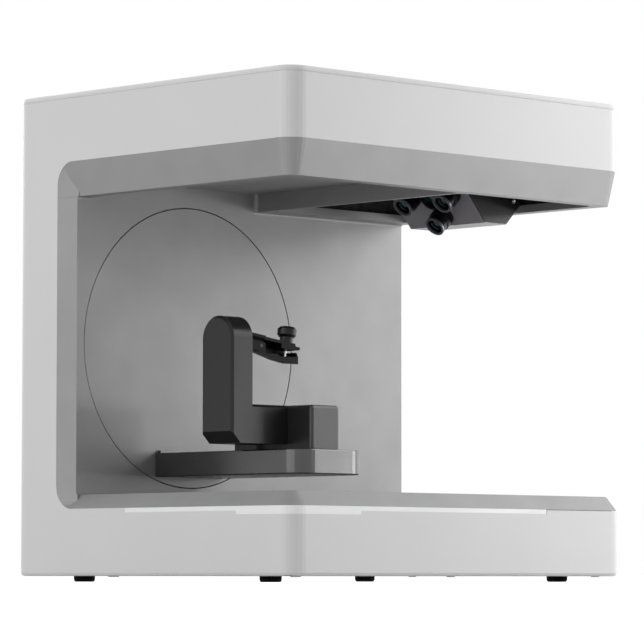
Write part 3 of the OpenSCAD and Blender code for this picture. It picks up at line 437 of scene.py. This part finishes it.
for node_name, node in NODES.items():
    node.data.materials.clear()
    node.data.materials.append(FINISH[node_name])
for node_name, width in SOFT_EDGES.items():
    soften(NODES[node_name], width).angle_limit = NODE_EDGE_ANGLE


# ---- Helpers for small pieces that only show ----

# Sides of a round form, and the period and the depth of the teeth round a grip
SCREW_SIDES = 24
LENS_SIDES = 48
GRIP_SIDES = 96
TOOTH_SIDES = 4
TOOTH_ROOT = 0.965

# Skin of a screw head: share of its radius, share of its height, shape
SCREW_RINGS = [(0, 0, ""), (1, 0, ""), (1, 0.65, ""), (0.88, 1, ""), (0.54, 1, "hex"),
    (0.5, 0.92, "hex"), (0.5, 0.3, "hex"), (0, 0.3, "")]


def axis_matrix(at, axis):
    """Place whose local Z points along axis."""
    return Matrix.Translation(at) @ Vector(axis).to_track_quat("Z", "Y").to_matrix().to_4x4()


def ring_points(radius, height, shape, count):
    """Points round the local Z axis: a circle, a hexagon, or a circle with teeth."""
    if radius == 0:
        return [(0.0, 0.0, height)]
    points = []
    for i in range(count):
        angle = math.tau * i / count
        reach = radius
        if shape == "hex":
            reach *= math.cos(math.pi / 6) / math.cos(angle % (math.pi / 3) - math.pi / 6)
        elif shape == "teeth" and i % TOOTH_SIDES < TOOTH_SIDES / 2:
            reach *= TOOTH_ROOT
        points.append((reach * math.cos(angle), reach * math.sin(angle), height))
    return points


def lathe(bm, rings, matrix, count):
    """Adds the skin over rings of (radius, height, shape), closed at an end whose radius is 0."""
    before = None
    for radius, height, shape in rings:
        now = [bm.verts.new(matrix @ Vector(p)) for p in ring_points(radius, height, shape, count)]
        if before is not None:
            for i in range(count):
                j = (i + 1) % count
                corners = [before[i % len(before)], before[j % len(before)],
                    now[j % len(now)], now[i % len(now)]]
                bm.faces.new(list(dict.fromkeys(corners)))
        before = now


def prism(bm, outline, matrix, height):
    """Adds a flat outline in local XY, raised along local Z."""
    low, high = ([bm.verts.new(matrix @ Vector((x, y, z))) for x, y in outline]
        for z in (0.0, height))
    bm.faces.new(list(reversed(low)))
    bm.faces.new(high)
    for i in range(len(outline)):
        j = (i + 1) % len(outline)
        bm.faces.new((low[i], low[j], high[j], high[i]))


def bar(bm, x, y, z):
    """Adds an upright box between two values on each axis."""
    outline = [(x[0], y[0]), (x[1], y[0]), (x[1], y[1]), (x[0], y[1])]
    prism(bm, outline, Matrix.Translation((0, 0, z[0])), z[1] - z[0])


def piece(name, bm, body, finish, soft=0.0):
    """Makes the object of one bmesh, which rides on a body and takes the finish it is given."""
    bmesh.ops.recalc_face_normals(bm, faces=bm.faces)
    mesh = bpy.data.meshes.new(name)
    bm.to_mesh(mesh)
    bm.free()
    mesh.shade_smooth()
    mesh.set_sharp_from_angle(angle=SMOOTH_ANGLE)
    mesh.materials.append(finish)
    obj = bpy.data.objects.new(name, mesh)
    bpy.context.scene.collection.objects.link(obj)
    if soft:
        soften(obj, soft)
    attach(obj, body)


def screws(name, spots, axis, radius, height, body, finish):
    """Screw heads with a hexagonal socket, standing on their spots."""
    bm = bmesh.new()
    rings = [(r * radius, z * height, shape) for r, z, shape in SCREW_RINGS]
    for spot in spots:
        lathe(bm, rings, axis_matrix(spot, axis), SCREW_SIDES)
    piece(name, bm, body, finish)


# ---- Screws ----

SCREW = ground_steel("screw_steel", 0.6)
DARK_SCREW = anodised("screw_black", 0.2)
BRIGHT_SCREW = ground_steel("screw_bright", 0.95)
SEAM = rubber("seam_dark", 0.25)

FRONTWARD = (0, -1, 0)
BACKWARD = (0, 1, 0)
DOWNWARD = (0, 0, -1)

# Arm's cover: depth of a screw's seat, and its distance from the arm's middle, front and back
ARM_SEAT = 0.001
ARM_SIDE = 0.022
ARM_FRONT = 0.022
ARM_BACK = 0.016

# How far the screws stand in from the rear panel's sides and ends, and from the fan's edges
PANEL_SIDE = 0.00705
PANEL_END = 0.00785
FAN_INSET = 0.0045

# Bottom plate: how far its rows of three, and the pair behind them, stand in from the housing
ROW_SIDE = 0.0172
ROW_FRONT = 0.0132
ROW_BACK = 0.0842
PAIR_SIDE = 0.0752
PAIR_BACK = 0.0212


def arm_cover_screws():
    """Four screws in the seats of the arm's cover."""
    low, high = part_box("arm_shell")
    middle = (low.x + high.x) / 2
    spots = [(middle + side * ARM_SIDE, y, low.z + ARM_SEAT) for side in (-1, 1)
        for y in (low.y + ARM_FRONT, high.y - ARM_BACK)]
    screws("arm_cover_screws", spots, DOWNWARD, 0.0021, 0.0009, "swing", SCREW)


def rear_panel_screws():
    """Three rows of screws on the rear panel, with a third one in the lowest and the highest."""
    low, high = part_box("rear_panel")
    rows = (low.z + PANEL_END, (Z_UNDER + Z_TOP) / 2, high.z - PANEL_END)
    spots = [(side * (high.x - PANEL_SIDE), high.y, z) for z in rows for side in (-1, 1)]
    spots += [(0, high.y, z) for z in (rows[0], rows[-1])]
    screws("rear_panel_screws", spots, BACKWARD, 0.0028, 0.0012, "base", SCREW)


def bottom_plate_screws():
    """Two rows of three screws under the base, and two screws behind them."""
    z = low_corner("bottom_plate").z
    spots = [(side * (HALF_W - ROW_SIDE), y, z) for side in (-1, 0, 1)
        for y in (Y_FRONT + ROW_FRONT, Y_BACK - ROW_BACK)]
    spots += [(side * (HALF_W - PAIR_SIDE), Y_BACK - PAIR_BACK, z) for side in (-1, 1)]
    screws("bottom_plate_screws", spots, DOWNWARD, 0.003, 0.0012, "base", SCREW)


def fan_screws():
    """Dark screws on the rear panel at the four corners of the fan's frame."""
    low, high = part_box("fan_frame")
    y = high_corner("rear_panel").y
    spots = [(x, y, z) for x in (low.x + FAN_INSET, high.x - FAN_INSET)
        for z in (low.z + FAN_INSET, high.z - FAN_INSET)]
    screws("fan_screws", spots, BACKWARD, 0.0022, 0.0011, "base", DARK_SCREW)


arm_cover_screws()
rear_panel_screws()
bottom_plate_screws()
fan_screws()


# ---- Camera module ----

# Profile of a cap, a hair smaller than the carrier's, as (in from its right side, up from its
# underside), the thickness of a cap, and the place of its screw in the same measure
CAP_PROFILE = [(0.03745, 0.00045), (0.01515, 0.00045), (0.00045, 0.015), (0.00045, 0.0435),
    (0.0765, 0.0435)]
CAP_T = 0.0008
CAP_SCREW = (0.0075, 0.0173)

# The way the lenses look, a lens's radius and length, and how far the lower one lies below
LENS_TILT = math.radians(42.5)
LENS_COS = math.cos(LENS_TILT)
LENS_SIN = math.sin(LENS_TILT)
LENS_OUT = Vector((-LENS_COS, 0, -LENS_SIN))
LENS_R = 0.0076
LENS_L = 0.014
LENS_DROP = 0.0192

# Skins of a barrel's grip ring and of its glass's holder: radius, way along the barrel, shape
GRIP_RINGS = [(0.0070, 0.0034, ""), (0.0081, 0.0036, "teeth"), (0.0081, 0.0078, "teeth"),
    (0.0070, 0.0080, "")]
HOLDER_RINGS = [(0.0057, 0.0081, ""), (0.0050, 0.0081, ""), (0.0050, 0.0098, ""),
    (0.0056, 0.0104, ""), (0.0057, 0.0104, "")]

# Front glass: a dome of elliptical section, with a ring of painted teal reflection round a darker
# centre within some degrees of its axis
GLASS_R = 0.0050
GLASS_Z = 0.0078
GLASS_RISE = 0.0032
GLASS_SKIRT = 0.0002
REFLECTION_RING_ANGLE = 40
RING_STEP = 10

# Notches across the rim's face
NOTCH_REACH = (0.0062, 0.0075)
NOTCH_HALF_W = 0.0003
NOTCH_Z = 0.01395
NOTCH_T = 0.0001
NOTCH_ANGLE = 0.6


def carrier_caps():
    """Black end plates on the camera carrier, and the screw of the front one; their black is partly
    the plates' own finish and partly painted shade where the carrier's ends lie under the head.
    """
    low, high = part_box("camera_carrier")
    outline = [(high.x - inward, low.z + up) for inward, up in CAP_PROFILE]
    bm = bmesh.new()
    for y, height in ((low.y, CAP_T), (high.y, -CAP_T)):
        upright = Matrix(((1, 0, 0, 0), (0, 0, -1, y), (0, 1, 0, 0), (0, 0, 0, 1)))
        prism(bm, outline, upright, height)
    piece("carrier_caps", bm, "base", CAP_BLACK_AND_SHADE, soft=0.00015)
    spot = (high.x - CAP_SCREW[0], low.y - CAP_T, low.z + CAP_SCREW[1])
    screws("carrier_screw", [spot], FRONTWARD, 0.0015, 0.001, "base", BRIGHT_SCREW)


def lens_roots():
    """Middle of each barrel's root: two upper lenses side by side, and one below between them."""
    low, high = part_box("lens_rims")
    upper_x = low.x + LENS_L * LENS_COS + LENS_R * LENS_SIN
    lower_z = low.z + LENS_L * LENS_SIN + LENS_R * LENS_COS
    upper_z = lower_z + LENS_DROP * LENS_COS
    upper = [(upper_x, y, upper_z) for y in (low.y + LENS_R, high.y - LENS_R)]
    return upper + [(upper_x + LENS_DROP * LENS_SIN, (low.y + high.y) / 2, lower_z)]


def glass_rings(outer, inner):
    """Skirt and rings of the front glass, from one angle off its axis to another, in degrees."""
    angles = [math.radians(a) for a in range(outer, inner - 1, -RING_STEP)]
    rings = [(GLASS_R * math.sin(a), GLASS_Z + GLASS_RISE * math.cos(a), "") for a in angles]
    rim_r, rim_z, _ = rings[0]
    return [(rim_r, rim_z - GLASS_SKIRT, "")] + rings


def lens_details():
    """Grip ring and holder of each barrel, its domed front glass, and two notches in its rim."""
    grip, marks, holder, dome, dark_centre = (bmesh.new() for _ in range(5))
    # The dome's outer ring carries the painted teal reflection; its centre takes the darker glass
    dome_rings, dark_centre_rings = glass_rings(90, REFLECTION_RING_ANGLE), glass_rings(REFLECTION_RING_ANGLE, 0)
    notch = [(NOTCH_REACH[0], -NOTCH_HALF_W), (NOTCH_REACH[1], -NOTCH_HALF_W),
        (NOTCH_REACH[1], NOTCH_HALF_W), (NOTCH_REACH[0], NOTCH_HALF_W)]
    for root in lens_roots():
        place = axis_matrix(root, LENS_OUT)
        lathe(grip, GRIP_RINGS, place, GRIP_SIDES)
        for bm, rings in ((holder, HOLDER_RINGS), (dome, dome_rings), (dark_centre, dark_centre_rings)):
            lathe(bm, rings, place, LENS_SIDES)
        for angle in (NOTCH_ANGLE, NOTCH_ANGLE + math.pi):
            turned = place @ Matrix.Rotation(angle, 4, "Z")
            prism(marks, notch, turned @ Matrix.Translation((0, 0, NOTCH_Z)), NOTCH_T)
    piece("lens_grips", grip, "base", BARREL)
    piece("lens_holders", holder, "base", BARREL)
    piece("lens_notches", marks, "base", SEAM)
    # Outer ring of glass with the painted teal reflection, and the darker centre
    piece("lens_fronts", dome, "base", GLASS)
    piece("lens_centres", dark_centre, "base", DARK_GLASS)


carrier_caps()
lens_details()


# ---- Seams, and painted shade in the jaws' slit ----

# Joint above the base's front: how far it stands proud, goes in, and goes over and under the
# edge, and the radius of the corner where it ends
SEAM_PROUD = 0.00004
SEAM_DEPTH = 0.0003
SEAM_OVER = 0.0001
SEAM_UNDER = 0.00025
CORNER_R = 0.0144

# The tick at the right end of the light strip: how far it goes under the edge, left and right
TICK_UNDER = 0.0031
TICK_LEFT = 0.00005
TICK_RIGHT = 0.0003

# Upper jaw's slope; the outline of the dark sheet of painted shade in the slit, as (along that jaw,
# below its top), its width, and its inset from the lower jaw's far face
JAW_SLOPE = math.radians(7.5)
SHADE_SHEET_OUTLINE = [(0.03, 0.00205), (0.03705, 0.00205), (0.03705, 0.00495), (0.05, 0.00495),
    (0.05, 0.00575), (0.03635, 0.00575), (0.03635, 0.0032), (0.03, 0.0032)]
SHADE_SHEET_W = 0.0014
SHADE_SHEET_INSET = 0.0001


def seam_lines():
    """Dark joints above the base's white front and at the right end of its light strip."""
    strip_end = high_corner("light_strip").x
    y = (Y_FRONT - SEAM_PROUD, Y_FRONT + SEAM_DEPTH)
    top = Z_BASE + SEAM_OVER
    bm = bmesh.new()
    bar(bm, (strip_end, HALF_W - CORNER_R), y, (Z_BASE - SEAM_UNDER, top))
    bar(bm, (strip_end - TICK_LEFT, strip_end + TICK_RIGHT), y, (Z_BASE - TICK_UNDER, top))
    piece("base_seams", bm, "base", SEAM)


def jaw_slit_shade():
    """Thin dark sheet under the upper jaw's far edge, which closes the slit above the lower jaw:
    painted shade where the slit is in shade.
    """
    cos, sin = math.cos(JAW_SLOPE), math.sin(JAW_SLOPE)
    left, top = low_corner("upper_jaw").x, high_corner("upper_jaw").z
    y = high_corner("lower_jaw").y - SHADE_SHEET_INSET - SHADE_SHEET_W
    down = Matrix(((cos, -sin, 0, left), (0, 0, 1, y), (-sin, -cos, 0, top), (0, 0, 0, 1)))
    bm = bmesh.new()
    prism(bm, SHADE_SHEET_OUTLINE, down, SHADE_SHEET_W)
    piece("jaw_slit_shade", bm, "table", JAW)


seam_lines()
jaw_slit_shade()


# ---- Stage, light and camera ----

# The floor's tone where it lights the object, its tone where it is looked at, and the glow there
FLOOR_SIZE = 14
FLOOR_TONE = 0.74
FLOOR_SEEN = 0.93
FLOOR_GLOW = 0.68

# Strength of the plain light from all sides, and the lamps: name, place, target, size, power
WORLD_LEVEL = 0.42
LAMPS = [
    ("key", (0.93, -0.6, 0.64), (0, 0, 0.15), (0.7, 0.7), 6.3),
    ("low", (1.09, -0.88, 0.1), (0, 0, 0.12), (0.5, 0.16), 2.6),
    ("right", (1.5, -0.1, 0.25), (0, 0, 0.15), (0.6, 0.6), 1.8),
    ("top", (0.3, -0.3, 2.4), (0, 0, 0.2), (1.6, 1.6), 4),
    ("left", (-2.3, 0.1, 0.9), (0, 0, 0.15), (1.6, 1.6), 17.5),
    ("back", (0.3, 2.4, 1.2), (0, 0, 0.2), (1.6, 1.6), 16),
]


def sees_white(tree):
    """1 for the rays that look at the background: from the camera, off gloss, through glass."""
    path = tree.nodes.new("ShaderNodeLightPath")
    seen = path.outputs["Is Camera Ray"]
    for ray in ("Is Glossy Ray", "Is Transmission Ray"):
        either = tree.nodes.new("ShaderNodeMath")
        either.operation = "MAXIMUM"
        tree.links.new(seen, either.inputs[0])
        tree.links.new(path.outputs[ray], either.inputs[1])
        seen = either.outputs[0]
    return seen


def between(tree, fac, low, high):
    """Value from low to high as the factor goes from 0 to 1."""
    node = tree.nodes.new("ShaderNodeMapRange")
    node.inputs["To Min"].default_value = low
    node.inputs["To Max"].default_value = high
    tree.links.new(fac, node.inputs["Value"])
    return node.outputs["Result"]


def stage():
    """Pale floor that looks white where it is lit and keeps the object's shadow."""
    bpy.ops.mesh.primitive_plane_add(size=FLOOR_SIZE, location=(0, 0, 0))
    floor = bpy.context.object
    floor.name = "floor"
    shader = Shader("floor_white", tone(FLOOR_TONE), 0.7, specular=0.0)
    seen = sees_white(shader.tree)
    shader.link(shader.mix(seen, tone(FLOOR_TONE), tone(FLOOR_SEEN)), "Base Color")
    shader.set(Emission_Color=(1.0, 1.0, 1.0, 1.0))
    shader.link(between(shader.tree, seen, 0.0, FLOOR_GLOW), "Emission Strength")
    shader.bump(shader.noise(size=0.004), depth=0.0001)
    floor.data.materials.append(shader.mat)


def world_light(level):
    """White behind the object for the camera and its reflections, and a plain level of light."""
    world = bpy.data.worlds.new("studio")
    bpy.context.scene.world = world
    world.use_nodes = True
    tree = world.node_tree
    background = tree.nodes["Background"]
    background.inputs["Color"].default_value = (1, 1, 1, 1)
    strength = between(tree, sees_white(tree), level, 1.0)
    tree.links.new(strength, background.inputs["Strength"])


def softbox(name, at, target, size, power):
    """Rectangular lamp at a place, turned to a target."""
    light = bpy.data.lights.new(name, "AREA")
    light.shape = "RECTANGLE"
    light.size, light.size_y = size
    light.energy = power
    lamp = bpy.data.objects.new(name, light)
    lamp.location = at
    lamp.rotation_euler = (Vector(target) - Vector(at)).to_track_quat("-Z", "Y").to_euler()
    bpy.context.scene.collection.objects.link(lamp)


def camera():
    """Camera at the photograph's view."""
    data = bpy.data.cameras.new("photo_view")
    data.sensor_width = SENSOR_MM
    data.lens = FOCAL_PX / IMAGE_W * SENSOR_MM
    data.clip_end = FAR_CLIP
    eye = bpy.data.objects.new("photo_view", data)
    eye.location = CAMERA_AT
    eye.rotation_euler = (math.radians(90) + PITCH, ROLL, AZIMUTH)
    bpy.context.scene.collection.objects.link(eye)
    bpy.context.scene.camera = eye


stage()
world_light(WORLD_LEVEL)
for lamp_row in LAMPS:
    softbox(*lamp_row)
camera()
bpy.context.scene.view_settings.view_transform = "Standard"
